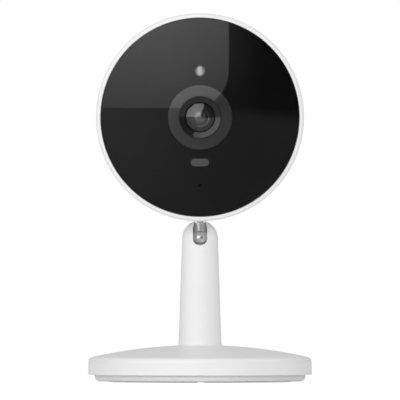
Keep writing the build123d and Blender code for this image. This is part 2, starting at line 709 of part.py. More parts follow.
# Thermal pad: a soft pad on the processor
with BuildPart() as thermal_pad:
    with BuildSketch(facing(BOARD_BACK + 1.0)):
        with Locations((-2.4, 7.0)):
            Rectangle(9.0, 9.0)
    extrude(amount=-0.5)

# Heat spreader: an aluminium plate with a folded edge
with BuildPart() as heat_spreader:
    with BuildSketch(facing(BOARD_BACK + 1.5)):
        with Locations((-5.5, 7.5)):
            RectangleRounded(23.0, 25.0, 2.0)
    extrude(amount=-0.8)

# Board flex: a flat cable between the two boards
with BuildPart() as board_flex:
    with BuildSketch(Plane(origin=(20.0, 0, HEAD_Z), x_dir=(0, 1, 0), z_dir=(1, 0, 0))):
        with Locations(((LED_BOARD_BACK + BOARD_FRONT) / 2, 0)):
            Rectangle(BOARD_FRONT - LED_BOARD_BACK, 6.0)
    extrude(amount=0.25)

# Speaker: a basket and magnet that face the holes in the back
with BuildPart() as speaker:
    with BuildSketch(facing(6.9)):
        with Locations((0, SPEAKER_UP)):
            Circle(5.4)
    extrude(amount=-1.8)
    with BuildSketch(facing(8.6)):
        with Locations((0, SPEAKER_UP)):
            Circle(9.2)
    extrude(amount=-2.0)
    with BuildSketch(facing(10.6)):
        with Locations((0, SPEAKER_UP)):
            Circle(7.2)
    extrude(amount=1.2, mode=Mode.SUBTRACT)

# Speaker cone: a shallow diaphragm in the basket
with BuildPart() as speaker_cone:
    with BuildSketch(facing(9.4)):
        with Locations((0, SPEAKER_UP)):
            Circle(7.1)
    extrude(amount=-0.5)
    with BuildSketch(facing(9.9)):
        with Locations((0, SPEAKER_UP)):
            Circle(2.6)
    extrude(amount=-0.5)
    chamfer(speaker_cone.edges().filter_by(GeomType.CIRCLE).sort_by(Axis.Y)[-1], 0.35)

# Speaker gasket: a foam ring against the housing
with BuildPart() as speaker_gasket:
    with BuildSketch(facing(10.6)):
        with Locations((0, SPEAKER_UP)):
            Circle(9.2)
            Circle(7.5, mode=Mode.SUBTRACT)
    extrude(amount=-0.4)

# Speaker lead: two wires from the speaker to the main board
with BuildPart() as speaker_lead:
    with BuildSketch(facing(BOARD_BACK)):
        with Locations((7.3, 7.5), (7.3, 9.0)):
            Circle(0.45)
    extrude(amount=-(8.6 - BOARD_BACK))

# Power inlet: an upright receptacle with a contact tongue, its mouth just under the back
INLET_MOUTH = HEAD_BACK - 0.6
with BuildPart() as power_inlet:
    with BuildSketch(facing(BOARD_BACK)):
        with Locations((0, -INLET_DOWN)):
            SlotOverall(8.94, 3.16)
    extrude(amount=-(INLET_MOUTH - BOARD_BACK))
    with BuildSketch(facing(INLET_MOUTH)):
        with Locations((0, -INLET_DOWN)):
            SlotOverall(8.34, 2.56)
            Rectangle(6.7, 0.7, mode=Mode.SUBTRACT)
    extrude(amount=6.2, mode=Mode.SUBTRACT)
    with BuildSketch(facing(INLET_MOUTH)):
        with Locations((0, -INLET_DOWN)):
            Rectangle(6.9, 0.9)
    extrude(amount=0.9, mode=Mode.SUBTRACT)

# Card socket: a metal tray with a mouth towards the slot in the side
with BuildPart() as card_socket:
    with BuildSketch(facing(BOARD_BACK)):
        with Locations((17.2, 0)):
            Rectangle(12.0, 13.0)
    extrude(amount=-2.0)
    with BuildSketch(Plane(origin=(12.0, CARD_Y, HEAD_Z), x_dir=(0, 0, 1), z_dir=(1, 0, 0))):
        Rectangle(11.4, 1.2)
    extrude(amount=16.0, mode=Mode.SUBTRACT)

# Reset switch: a small square switch with a plunger
with BuildPart() as reset_switch:
    with BuildSketch(facing(BOARD_BACK)):
        with Locations((RESET_RIGHT, -RESET_DOWN)):
            Rectangle(3.4, 3.4)
    extrude(amount=-1.4)
    with BuildSketch(facing(BOARD_BACK + 1.4)):
        with Locations((RESET_RIGHT, -RESET_DOWN)):
            Circle(0.8)
    extrude(amount=-0.3)

# Reset button: a plunger with a collar behind the housing's wall
RESET_BACK = HEAD_BACK - 0.5
with BuildPart() as reset_button:
    with BuildSketch(facing(BOARD_BACK + 2.2)):
        with Locations((RESET_RIGHT, -RESET_DOWN)):
            Circle(1.5)
    extrude(amount=-(RESET_BACK - BOARD_BACK - 2.2))
    with BuildSketch(facing(10.7)):
        with Locations((RESET_RIGHT, -RESET_DOWN)):
            Circle(2.4)
    extrude(amount=-0.9)
    chamfer(reset_button.edges().filter_by(GeomType.CIRCLE).sort_by(Axis.Y)[-1], 0.25)

# Antenna: a thin strip bent to the inside of the wall at the top
with BuildPart() as antenna:
    with BuildSketch(HEAD_PROFILE):
        with Locations((0.5, HEAD_RADIUS - HEAD_WALL - 0.15)):
            Rectangle(5.0, 0.2)
    revolve(axis=HEAD_AXIS, revolution_arc=46)

PIECES = {
    "wall_plate": wall_plate,
    "foot_pad": foot_pad,
    "base_shell": base_shell,
    "base_weight": base_weight,
    "weight_screws": weight_screws,
    "neck": neck,
    "neck_nut": neck_nut,
    "tension_rod": tension_rod,
    "disc_springs": disc_springs,
    "ball_seat": ball_seat,
    "ball_stud": ball_stud,
    "stud_washer": stud_washer,
    "stud_clip": stud_clip,
    "housing": housing,
    "stud_bush": stud_bush,
    "front_window": front_window,
    "window_tape": window_tape,
    "front_frame": front_frame,
    "lens_hood": lens_hood,
    "lens_barrel": lens_barrel,
    "front_lens": front_lens,
    "aperture_stop": aperture_stop,
    "inner_lenses": inner_lenses,
    "lens_holder": lens_holder,
    "holder_screws": holder_screws,
    "filter_slider": filter_slider,
    "ir_cut_glass": ir_cut_glass,
    "clear_glass": clear_glass,
    "filter_coil": filter_coil,
    "image_sensor": image_sensor,
    "led_board": led_board,
    "ir_led": ir_led,
    "status_led": status_led,
    "light_pipe": light_pipe,
    "microphone": microphone,
    "mic_gasket": mic_gasket,
    "main_board": main_board,
    "board_screws": board_screws,
    "board_chips": board_chips,
    "radio_can": radio_can,
    "thermal_pad": thermal_pad,
    "heat_spreader": heat_spreader,
    "board_flex": board_flex,
    "speaker": speaker,
    "speaker_cone": speaker_cone,
    "speaker_gasket": speaker_gasket,
    "speaker_lead": speaker_lead,
    "power_inlet": power_inlet,
    "card_socket": card_socket,
    "reset_switch": reset_switch,
    "reset_button": reset_button,
    "antenna": antenna,
}

for name, piece in PIECES.items():
    piece.part.label = name
    export_step(piece.part, f"parts/{name}.step")
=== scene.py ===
"""Looks for the round security camera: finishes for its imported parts, a few fine pieces and the stage."""
import math

import bmesh
import bpy
from bpy.props import FloatProperty, FloatVectorProperty, PointerProperty
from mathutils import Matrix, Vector


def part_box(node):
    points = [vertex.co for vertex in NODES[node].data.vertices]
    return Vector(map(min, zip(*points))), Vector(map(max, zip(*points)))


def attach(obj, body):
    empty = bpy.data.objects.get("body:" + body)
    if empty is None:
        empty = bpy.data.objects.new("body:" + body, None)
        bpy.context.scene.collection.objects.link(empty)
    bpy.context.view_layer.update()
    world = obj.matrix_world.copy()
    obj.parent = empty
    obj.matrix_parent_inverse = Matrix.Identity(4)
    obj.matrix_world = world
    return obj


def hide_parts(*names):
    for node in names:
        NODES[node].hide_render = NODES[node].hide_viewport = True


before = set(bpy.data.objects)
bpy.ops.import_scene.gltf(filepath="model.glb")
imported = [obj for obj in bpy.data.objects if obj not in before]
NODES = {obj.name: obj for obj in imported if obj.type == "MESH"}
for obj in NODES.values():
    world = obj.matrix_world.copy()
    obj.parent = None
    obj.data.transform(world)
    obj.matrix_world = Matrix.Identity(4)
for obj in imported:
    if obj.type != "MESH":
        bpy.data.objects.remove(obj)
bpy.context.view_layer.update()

bl_info = {
    "name": "Security camera looks",
    "version": (1, 0, 0),
    "blender": (4, 5, 0),
    "location": "3D View > Sidebar > Camera looks",
    "description": "Finishes, fine pieces and stage for a round security camera on a ball-joint stand",
    "category": "Object",
}

MM = 0.001

# The head's axis runs through the middle of the window, along Y
WINDOW_LOW, WINDOW_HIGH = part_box("front_window")
HEAD_CENTRE = Vector((0.0, 0.0, (WINDOW_LOW.z + WINDOW_HIGH.z) / 2))
WINDOW_FRONT = WINDOW_LOW.y

# A wave texture of scale 1 repeats once in this length, about a tenth of pi
WAVE_LENGTH = 0.314

# Edges of the fine pieces that turn by more than this stay sharp
SHARP_ANGLE = math.radians(35.0)

# The infrared lamp: its lens, the lens's crown, and the square package behind a small gap
LED_LENS_DEPTH = 0.9 * MM
LED_CROWN = 0.6 * MM
LED_CROWN_STEPS = 6
LED_GAP = 0.1 * MM
LED_PACKAGE_WIDTH = 2.3 * MM
LED_PACKAGE_BEVEL = 0.12 * MM

# The dust mesh's crowned profile as radius and depth in millimetres, and how far it lies before its gasket
MESH_PROFILE = [(0.0, 0.0), (0.3, 0.01), (0.48, 0.06), (0.48, 0.16), (0.0, 0.16)]
MESH_FORWARD = 1.2 * MM
MESH_STEPS = 32

# The inlet's contacts: two rows, above and below its tongue
CONTACT_COUNT = 12
CONTACT_PITCH = 0.5 * MM
CONTACT_SIZE = (0.25 * MM, 3.6 * MM, 0.05 * MM)
CONTACT_INSET = 3.2 * MM
CONTACT_RISE = 0.37 * MM
CONTACT_BEVEL = 0.015 * MM

# The soft lamp at the front left
KEY_WIDTH = 2.6
KEY_HEIGHT = 0.9
KEY_PLACE = Vector((-0.25, -1.45, 0.45))

# The floor, a hair below the part, shows its own light and a share of the shadow
FLOOR_RADIUS = 0.9
FLOOR_SIDES = 96
FLOOR_DROP = 0.05 * MM
FLOOR_GLOW = 0.82
FLOOR_SHADE = (0.3, 0.3, 0.3, 1.0)

# The bright card's rounded corner, in the size and place that the window shows
CARD_RIGHT = 8.54 * MM
CARD_BOTTOM = 81.0 * MM
CARD_BEND = 11.1 * MM
CARD_BEND_STEPS = 12

# The bright card's right edge is upright at first and then leans out, up to the card's far corners
CARD_UPRIGHT = 0.06
CARD_LEAN = 0.36
CARD_FAR = 2.0

# The dark card behind the bright one
DARK_CARD_GAP = 0.002
DARK_CARD_REACH = 1.3

# The ways in which light fades across a card: to the right, up, up and a little right, or outwards
RIGHT = (1.0, 0.0, 0.0)
UP = (0.0, 0.0, 1.0)
SLANT = (0.1, 0.0, 1.0)
OUTWARDS = None

# The grey cards on the floor and behind the part
FLOOR_CARD_REACH = 0.7
FLOOR_CARD_END = -0.045
FLOOR_CARD_RISE = 0.001
BACK_CARD_REACH = 1.6
BACK_CARD_HEIGHT = 1.2
BACK_CARD_PLACE = 0.8
GREY_CARD_GLOW = 0.52

# The camera's sensor, in millimetres, and how far it sees
SENSOR_WIDTH = 36.0
VIEW_END = 20.0

WHITE = (1.0, 1.0, 1.0, 1.0)
BLACK = (0.0, 0.0, 0.0, 1.0)


def linear(code):
    """Turns an sRGB hex code into linear red, green and blue."""
    channels = [int(code[i:i + 2], 16) / 255 for i in (1, 3, 5)]
    return tuple(c / 12.92 if c <= 0.04045 else ((c + 0.055) / 1.055) ** 2.4 for c in channels)


def opaque(colour):
    """Adds full alpha to a linear colour."""
    return (*colour, 1.0)


def per(size):
    """The texture scale that gives a pattern features of a size in millimetres."""
    return 1.0 / (size * MM)


def add(tree, kind, inputs=None, **settings):
    """Adds a node, sets its own settings, then gives each input a value or a link from a socket.

    A Mix node's inputs go by number: 0 is the share, 2 and 3 are values, 6 and 7 are colours."""
    node = tree.nodes.new(kind)
    for name, value in settings.items():
        setattr(node, name, value)
    for name, value in (inputs or {}).items():
        if isinstance(value, bpy.types.NodeSocket):
            tree.links.new(value, node.inputs[name])
        else:
            node.inputs[name].default_value = value
    return node


def empty_tree(owner):
    """Turns on the nodes of a material or a world, and clears them."""
    owner.use_nodes = True
    owner.node_tree.nodes.clear()
    return owner.node_tree


class Finish:
    """A material whose colour and gloss drift in patches over a fine grain, with sizes in millimetres."""

    def __init__(self, name, shades, patch, rough, grain, depth, **values):
        """Takes two shades, as hex codes or linear colours, and values for more of the shader's sockets."""
        self.material = bpy.data.materials.new(name)
        tree = empty_tree(self.material)
        place = add(tree, "ShaderNodeTexCoord").outputs["Object"]
        patches = add(tree, "ShaderNodeTexNoise", {"Vector": place, "Scale": per(patch), "Detail": 3.0})
        drift = patches.outputs["Fac"]
        low, high = (opaque(linear(shade) if isinstance(shade, str) else shade) for shade in shades)
        tint = add(tree, "ShaderNodeMix", {0: drift, 6: low, 7: high}, data_type="RGBA")
        gloss = add(tree, "ShaderNodeMapRange", {"Value": drift, "To Min": rough[0], "To Max": rough[1]})
        pits = add(tree, "ShaderNodeTexNoise", {"Vector": place, "Scale": per(grain), "Detail": 2.0})
        bump = add(tree, "ShaderNodeBump", {
            "Height": pits.outputs["Fac"], "Strength": 1.0, "Distance": depth * MM,
        })
        shader = add(tree, "ShaderNodeBsdfPrincipled", {
            "Base Color": tint.outputs[2], "Roughness": gloss.outputs["Result"],
            "Normal": bump.outputs["Normal"],
        })
        for socket, value in values.items():
            shader.inputs[socket.replace("_", " ")].default_value = value
        add(tree, "ShaderNodeOutputMaterial", {"Surface": shader.outputs["BSDF"]})
        self.tree = tree
        self.place = place
        self.height = bump.inputs["Height"]
        self.colour = shader.inputs["Base Color"]

    def blend_height(self, height, share):
        """Blends a second height into the grain's own."""
        own = self.height.links[0].from_socket
        both = add(self.tree, "ShaderNodeMix", {0: share, 2: own, 3: height})
        self.tree.links.new(both.outputs[0], self.height)

    def blend_colour(self, code, share):
        """Blends a second colour into the shader's own, where a pattern is high."""
        own = self.colour.links[0].from_socket
        both = add(self.tree, "ShaderNodeMix", {0: share, 6: own, 7: opaque(linear(code))}, data_type="RGBA")
        self.tree.links.new(both.outputs[2], self.colour)

    def rib(self, size, direction, share, distortion=0.0):
        """Ribs the surface along an axis, a size apart."""
        ribs = add(self.tree, "ShaderNodeTexWave", {
            "Vector": self.place, "Scale": WAVE_LENGTH * per(size), "Distortion": distortion,
        }, bands_direction=direction)
        self.blend_height(ribs.outputs["Fac"], share)

    def groove(self, size, centre, share, profile="SIN"):
        """Grooves the surface in rings round an axis along Y through a centre, a size apart."""
        from_axis = add(self.tree, "ShaderNodeVectorMath", {0: self.place, 1: centre}, operation="SUBTRACT")
        rings = add(self.tree, "ShaderNodeTexWave", {
            "Vector": from_axis.outputs[0], "Scale": WAVE_LENGTH * per(size),
        }, wave_type="RINGS", rings_direction="Y", wave_profile=profile)
        self.blend_height(rings.outputs["Fac"], share)

    def streak(self, size, stretch, share):
        """Streaks the surface, a size apart, along each axis whose stretch is under 1."""
        along = add(self.tree, "ShaderNodeMapping", {"Vector": self.place, "Scale": stretch})
        streaks = add(self.tree, "ShaderNodeTexNoise", {"Vector": along.outputs[0], "Scale": per(size)})
        self.blend_height(streaks.outputs["Fac"], share)


def moulded_white_abs(shade):
    """ABS from a spark-eroded mould."""
    # A neutral white with a broad satin highlight. The 0.08 mm grain is too fine to show, so it is
    # drawn at 0.35 mm
    return Finish("moulded_white_abs", ("#EBEBEB", shade), patch=18.0, rough=(0.34, 0.42), grain=0.35,
                  depth=0.006, IOR=1.53).material


def moulded_grey_rubber():
    """Silicone rubber, pressed with a matt face."""
    # Dull and slightly dusty, with no clear highlight
    return Finish("moulded_grey_rubber", ("#B4B4B2", "#C2C2C0"), patch=3.0, rough=(0.72, 0.85), grain=0.3,
                  depth=0.01, IOR=1.41).material


def satin_chrome_steel():
    """Turned steel, lapped and plated with satin chrome."""
    # Pale grey metal with soft-edged reflections and hair-fine turning rings, 0.22 mm apart
    chrome = Finish("satin_chrome_steel", ("#DCDDDE", "#E4E4E5"), patch=1.5, rough=(0.19, 0.25), grain=0.25,
                    depth=0.0006, Metallic=1.0)
    chrome.rib(0.22, "Z", share=0.35, distortion=0.6)
    return chrome.material


def zinc_plated_steel():
    """Pressed steel with clear-passivated zinc."""
    # Cool grey, with a soft bluish bloom that turns to straw in patches
    return Finish("zinc_plated_steel", ("#A9ADB3", "#BFBCB1"), patch=4.0, rough=(0.26, 0.42), grain=0.2,
                  depth=0.004, Metallic=1.0).material


def blued_spring_steel():
    """Stamped spring steel, tempered and oiled."""
    # Dark, with a deep blue-brown sheen
    return Finish("blued_spring_steel", ("#3B3E45", "#4F4A47"), patch=2.0, rough=(0.3, 0.42), grain=0.15,
                  depth=0.003, Metallic=1.0).material


def nickel_plated_brass():
    """Free-cutting brass, turned on a lathe and nickel plated."""
    # Pale metal, a little warmer than steel, with turning marks round the bore, 0.25 mm apart
    nickel = Finish("nickel_plated_brass", ("#C4C2BE", "#D0CECA"), patch=2.0, rough=(0.22, 0.34), grain=0.2,
                    depth=0.002, Metallic=1.0)
    nickel.rib(0.25, "Z", share=0.6)
    return nickel.material


def machined_acetal():
    """Grey acetal bar, machined."""
    # Light grey with a waxy surface
    return Finish("machined_acetal", ("#A0A09E", "#ACACAA"), patch=3.0, rough=(0.38, 0.48), grain=0.2,
                  depth=0.003).material


def cast_clear_acrylic():
    """Cast acrylic sheet, cut and flame polished."""
    # Clear and flat, so it shows sharp reflections; only a trace of orange peel breaks them
    return Finish("cast_clear_acrylic", ("#FDFDFD", "#FFFFFF"), patch=20.0, rough=(0.0, 0.004), grain=6.0,
                  depth=0.00002, IOR=1.49, Transmission_Weight=1.0).material


def die_cut_black_tape():
    """Foam tape, die cut, with black adhesive."""
    # Matt black with a soft, pebbled face
    return Finish("die_cut_black_tape", ("#060606", "#0A0A0A"), patch=1.5, rough=(0.8, 0.92), grain=0.3,
                  depth=0.01, Specular_IOR_Level=0.05).material


def moulded_black_pc(name, shades, rough, sheen=0.5):
    """Polycarbonate from a mould, black."""
    # A deep black that keeps a narrow grey sheen. The 0.06 mm grain is drawn at 0.25 mm
    return Finish(name, shades, patch=6.0, rough=rough, grain=0.25, depth=0.003, IOR=1.585,
                  Specular_IOR_Level=sheen).material


def sprayed_black_mask():
    """Polycarbonate sprayed with light-trap paint."""
    # A black with almost no sheen, so that only the window over it shines
    return Finish("sprayed_black_mask", ("#060606", "#090909"), patch=5.0, rough=(0.85, 0.95), grain=0.25,
                  depth=0.004, Specular_IOR_Level=0.05).material


def moulded_grey_pc(shade):
    """Polycarbonate from a polished, lathe-turned mould, dark grey."""
    # Glossy enough to mirror a card's edge, which takes a higher index and more sheen than the bare
    # plastic has, with the mould's faint turning rings round the lens, 0.35 mm apart
    grey = Finish("moulded_grey_pc", ("#333333", shade), patch=4.0, rough=(0.02, 0.045), grain=0.25,
                  depth=0.0001, IOR=1.62, Specular_IOR_Level=1.0)
    grey.groove(0.35, HEAD_CENTRE, share=0.5)
    return grey.material


def grooved_dark_aluminium():
    """Aluminium, turned with light-trap grooves and anodised dark."""
    # Grey metal seen as fine bright arcs, one on each groove's edge, 0.55 mm apart
    dark = Finish("grooved_dark_aluminium", ("#5E5E5E", "#6A6A6A"), patch=1.0, rough=(0.16, 0.22), grain=0.2,
                  depth=0.01, Metallic=1.0)
    dark.groove(0.55, HEAD_CENTRE, share=0.95, profile="SAW")
    return dark.material


def ground_lens_glass(name, shades, index):
    """Optical glass, ground, polished and coated."""
    # Clear with mirror images, bright or faint by its index; the coating leaves the faintest cool tint
    return Finish(name, shades, patch=8.0, rough=(0.0, 0.01), grain=3.0, depth=0.00002, IOR=index,
                  Transmission_Weight=1.0).material


def coated_filter_glass(name, shades):
    """Thin float glass with a filter coating."""
    # Clear in the middle, with a hint of colour from the coating
    return Finish(name, shades, patch=5.0, rough=(0.0, 0.02), grain=3.0, depth=0.00005, IOR=1.52,
                  Transmission_Weight=0.9).material


def enamelled_copper_wire():
    """Copper wire, wound flat and enamelled."""
    # Red-brown metal under clear lacquer, ribbed by its 0.12 mm turns, drawn at 0.3 mm
    copper = Finish("enamelled_copper_wire", ("#8E4A2A", "#A55B35"), patch=1.0, rough=(0.2, 0.3), grain=0.2,
                    depth=0.004, Metallic=1.0, Coat_Weight=0.6, Coat_Roughness=0.1)
    copper.rib(0.3, "Y", share=0.8)
    return copper.material


def moulded_chip_epoxy():
    """Filled epoxy from a transfer mould."""
    # Charcoal, with a fine sandy face
    return Finish("moulded_chip_epoxy", ("#1D1D1F", "#262628"), patch=1.2, rough=(0.55, 0.68), grain=0.12,
                  depth=0.006).material


def solder_masked_board():
    """Glass-epoxy board with green solder mask over copper tracks."""
    # Green gloss, with lighter lines where tracks lie under the mask, in rows 0.9 mm apart, which are a
    # quarter of the brick pattern's 3.6 mm
    board = Finish("solder_masked_board", ("#0E3F24", "#155030"), patch=5.0, rough=(0.28, 0.38), grain=0.3,
                   depth=0.003, IOR=1.55)
    turned = add(board.tree, "ShaderNodeVectorRotate", {"Vector": board.place, "Angle": math.pi / 2},
                 rotation_type="X_AXIS")
    tracks = add(board.tree, "ShaderNodeTexBrick", {
        "Vector": turned.outputs[0], "Scale": per(3.6), "Mortar Size": 0.03,
        "Color1": WHITE, "Color2": WHITE, "Mortar": BLACK,
    })
    board.blend_colour("#2B6B45", share=tracks.outputs["Fac"])
    board.blend_height(tracks.outputs["Fac"], share=0.6)
    return board.material


def cast_clear_epoxy():
    """Epoxy with a trace of diffuser, cast as a lamp's lens."""
    # Milky, with a rounded highlight and a painted highlight, a lighter upright streak about 1.2 mm wide
    # down the middle of the lens
    milky = Finish("cast_clear_epoxy", ("#B4B4B4", "#BEBEBE"), patch=2.0, rough=(0.05, 0.1), grain=0.6,
                   depth=0.0003, IOR=1.54, Transmission_Weight=0.05)
    across = add(milky.tree, "ShaderNodeSeparateXYZ", {0: milky.place}).outputs["X"]
    aside = add(milky.tree, "ShaderNodeMath", {0: across}, operation="ABSOLUTE")
    # Painted highlight: white is blended into the colour in an upright band near X = 0, fading out from 0.42
    # to 0.76 mm
    streak = add(milky.tree, "ShaderNodeMapRange", {
        "Value": aside.outputs[0], "From Min": 0.42 * MM, "From Max": 0.76 * MM,
        "To Min": 1.0, "To Max": 0.0,
    }, interpolation_type="SMOOTHSTEP")
    milky.blend_colour("#FFFFFF", share=streak.outputs["Result"])
    return milky.material


def moulded_lamp_package():
    """White nylon, moulded round the lamp's leads."""
    # Off-white and matt, and nearly hidden behind the lamp's lens
    return Finish("moulded_lamp_package", ("#C9C9C6", "#D6D6D3"), patch=1.0, rough=(0.45, 0.55), grain=0.15,
                  depth=0.002).material


def frosted_diffuser_pc(shade):
    """Polycarbonate with a light-scattering filler, frosted in the mould."""
    # An even, soft grey with no sharp image in it
    return Finish("frosted_diffuser_pc", ("#5B5B5B", shade), patch=1.5, rough=(0.48, 0.6), grain=0.25,
                  depth=0.004, IOR=1.585).material


def drawn_tinned_steel():
    """Thin steel, deep drawn and tinned."""
    # Bright grey with soft drawing streaks
    tinned = Finish("drawn_tinned_steel", ("#B4B5B6", "#C6C7C7"), patch=2.0, rough=(0.2, 0.32), grain=0.2,
                    depth=0.002, Metallic=1.0)
    tinned.streak(0.25, stretch=(1.0, 0.08, 1.0), share=0.6)
    return tinned.material


def foamed_gasket():
    """Closed-cell foam, die cut."""
    # Charcoal and soft, broken by its cells
    foam = Finish("foamed_gasket", ("#242424", "#303030"), patch=0.8, rough=(0.88, 0.96), grain=0.25,
                  depth=0.02)
    cells = add(foam.tree, "ShaderNodeTexVoronoi", {"Vector": foam.place, "Scale": per(0.4)})
    foam.blend_height(cells.outputs["Distance"], share=0.7)
    return foam.material


def woven_dust_mesh():
    """Polyester monofilament, woven and dyed black."""
    # Flat black with a fine weave. The 0.05 mm threads are drawn 0.15 mm apart
    weave = Finish("woven_dust_mesh", ("#0F0F0F", "#141414"), patch=0.3, rough=(0.8, 0.9), grain=0.1,
                   depth=0.004, Specular_IOR_Level=0.0)
    threads = add(weave.tree, "ShaderNodeTexChecker", {"Vector": weave.place, "Scale": per(0.15)})
    weave.blend_height(threads.outputs["Fac"], share=0.7)
    return weave.material


def filled_thermal_silicone():
    """Silicone gum filled with ceramic powder."""
    # Pale blue-grey, dull and putty-like
    return Finish("filled_thermal_silicone", ("#8C9BA6", "#9BA8B1"), patch=1.5, rough=(0.7, 0.85),
                  grain=0.25, depth=0.008).material


def brushed_aluminium():
    """Rolled aluminium sheet, brushed."""
    # Light metal whose highlight is drawn out across fine lines, 0.2 mm apart
    brushed = Finish("brushed_aluminium", ("#B9BABB", "#C8C9C9"), patch=6.0, rough=(0.26, 0.36), grain=0.2,
                     depth=0.002, Metallic=1.0, Anisotropic=0.5)
    brushed.streak(0.2, stretch=(0.04, 1.0, 1.0), share=0.8)
    return brushed.material


def polyimide_film():
    """Polyimide film over etched copper."""
    # Amber, with darker tracks along it, 0.6 mm apart
    film = Finish("polyimide_film", ("#9A5B17", "#B16D20"), patch=3.0, rough=(0.2, 0.3), grain=0.3,
                  depth=0.001)
    tracks = add(film.tree, "ShaderNodeTexWave", {
        "Vector": film.place, "Scale": WAVE_LENGTH * per(0.6),
    }, bands_direction="Z")
    film.blend_colour("#7A4510", share=tracks.outputs["Fac"])
    return film.material


def extruded_wire_cover():
    """Soft PVC, extruded over stranded wire."""
    # Black with a greasy sheen
    return Finish("extruded_wire_cover", ("#171717", "#212121"), patch=1.0, rough=(0.4, 0.52), grain=0.3,
                  depth=0.003).material


def pressed_cone_film():
    """Polyester film, hot pressed."""
    # Smoky and shiny, dented by its corrugations, 0.8 mm apart
    smoky = Finish("pressed_cone_film", ("#2A2B2D", "#36373A"), patch=2.0, rough=(0.2, 0.3), grain=0.4,
                   depth=0.004)
    low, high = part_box("speaker_cone")
    smoky.groove(0.8, (low + high) / 2, share=0.8)
    return smoky.material


def gold_plated_contacts():
    """Stamped phosphor bronze, flashed with gold."""
    # Warm and bright
    return Finish("gold_plated_contacts", ("#C9A04A", "#DDB868"), patch=0.6, rough=(0.18, 0.26), grain=0.12,
                  depth=0.001, Metallic=1.0).material


def dress(material, *names):
    """Gives CAD nodes a material in each of their slots."""
    for name in names:
        for slot in NODES[name].material_slots:
            slot.material = material


def put(name, shape):
    """Puts a bmesh into the scene as an object."""
    mesh = bpy.data.meshes.new(name)
    shape.to_mesh(mesh)
    shape.free()
    made = bpy.data.objects.new(name, mesh)
    bpy.context.scene.collection.objects.link(made)
    return made


def piece(name, shape, material, body):
    """Makes a piece from a bmesh in the row frame, with smooth faces, and lets it ride on a body."""
    bmesh.ops.recalc_face_normals(shape, faces=shape.faces)
    made = put(name, shape)
    made.data.shade_smooth()
    made.data.set_sharp_from_angle(angle=SHARP_ANGLE)
    made.data.materials.append(material)
    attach(made, body)
    return made


def lathe(profile, centre, steps=48):
    """Turns a closed profile of (radius, depth) points about an axis along Y through a centre."""
    shape = bmesh.new()
    rings = []
    for radius, depth in profile:
        ring = []
        for i in range(steps if radius > 0 else 1):
            turn = 2.0 * math.pi * i / steps
            across = radius * math.cos(turn)
            up = radius * math.sin(turn)
            ring.append(shape.verts.new((centre.x + across, centre.y + depth, centre.z + up)))
        rings.append(ring)
    for ring, after in zip(rings, rings[1:] + rings[:1]):
        for i in range(steps):
            corners = [ring[i % len(ring)], ring[(i + 1) % len(ring)],
                       after[(i + 1) % len(after)], after[i % len(after)]]
            corners = list(dict.fromkeys(corners))
            if len(corners) > 2:
                shape.faces.new(corners)
    return shape


def bevelled_box(shape, centre, size, bevel):
    """Adds a box with softened edges to a bmesh."""
    made = bmesh.ops.create_cube(shape, size=1.0)["verts"]
    for vertex in made:
        vertex.co = Vector(centre) + Vector(vertex.co[i] * size[i] for i in range(3))
    edges = list({edge for vertex in made for edge in vertex.link_edges})
    bmesh.ops.bevel(shape, geom=edges, offset=bevel, segments=2, profile=0.5, affect="EDGES")


class CaseSettings(bpy.types.PropertyGroup):
    """What a user would change on the white case."""

    white: FloatVectorProperty(
        name="White", description="Lighter shade of the moulded case",
        size=3, min=0.0, max=1.0, subtype="COLOR", default=linear("#F0F0F0"))


class FrontSettings(bpy.types.PropertyGroup):
    """What a user would change behind the window."""

    ring: FloatVectorProperty(
        name="Lens ring", description="Lighter shade of the ring round the lens",
        size=3, min=0.0, max=1.0, subtype="COLOR", default=linear("#393939"))
    pipe: FloatVectorProperty(
        name="Light pipe", description="Lighter shade of the status light's diffuser",
        size=3, min=0.0, max=1.0, subtype="COLOR", default=linear("#646464"))
    lens_ior: FloatProperty(
        name="Lens index", description="Refractive index of the front lens's glass",
        min=1.4, max=2.2, default=1.76)


class StageSettings(bpy.types.PropertyGroup):
    """What a user would change on the stage."""

    view_distance: FloatProperty(
        name="View distance", description="From the part's upright axis to the camera",
        unit="LENGTH", default=4.91)
    view_height: FloatProperty(
        name="View height", description="Camera height over the floor", unit="LENGTH", default=0.0538)
    frame_width: FloatProperty(
        name="Frame width", description="Width of the picture at the object",
        unit="LENGTH", default=0.1185)
    room_light: FloatProperty(
        name="Room light", description="Strength of the even light from all sides", default=0.6)
    key_power: FloatProperty(
        name="Key power", description="Power of the soft lamp at the front left",
        subtype="POWER", unit="POWER", default=12.7)
    card_distance: FloatProperty(
        name="Card distance", description="From the window to the card it mirrors",
        unit="LENGTH", default=0.6)


class CAMERALOOKS_OT_white_case(bpy.types.Operator):
    """Finish the housing, the neck, the base and the wall plate in white ABS."""

    bl_idname = "cameralooks.white_case"
    bl_label = "White case"

    def execute(self, context):
        shell = moulded_white_abs(context.scene.camera_case.white)
        dress(shell, "housing", "neck", "base_shell", "wall_plate")
        return {"FINISHED"}


class CAMERALOOKS_OT_foot(bpy.types.Operator):
    """Finish the foot pad, the weight over it and the zinc-plated small parts."""

    bl_idname = "cameralooks.foot"
    bl_label = "Foot and weight"

    def execute(self, context):
        dress(moulded_grey_rubber(), "foot_pad")
        dress(zinc_plated_steel(), "base_weight", "weight_screws", "neck_nut", "tension_rod", "stud_washer",
              "board_screws", "holder_screws")
        return {"FINISHED"}


class CAMERALOOKS_OT_ball_joint(bpy.types.Operator):
    """Finish the ball stud and what holds it."""

    bl_idname = "cameralooks.ball_joint"
    bl_label = "Ball joint"

    def execute(self, context):
        dress(satin_chrome_steel(), "ball_stud")
        dress(nickel_plated_brass(), "stud_bush")
        dress(machined_acetal(), "ball_seat")
        dress(blued_spring_steel(), "disc_springs", "stud_clip")
        return {"FINISHED"}


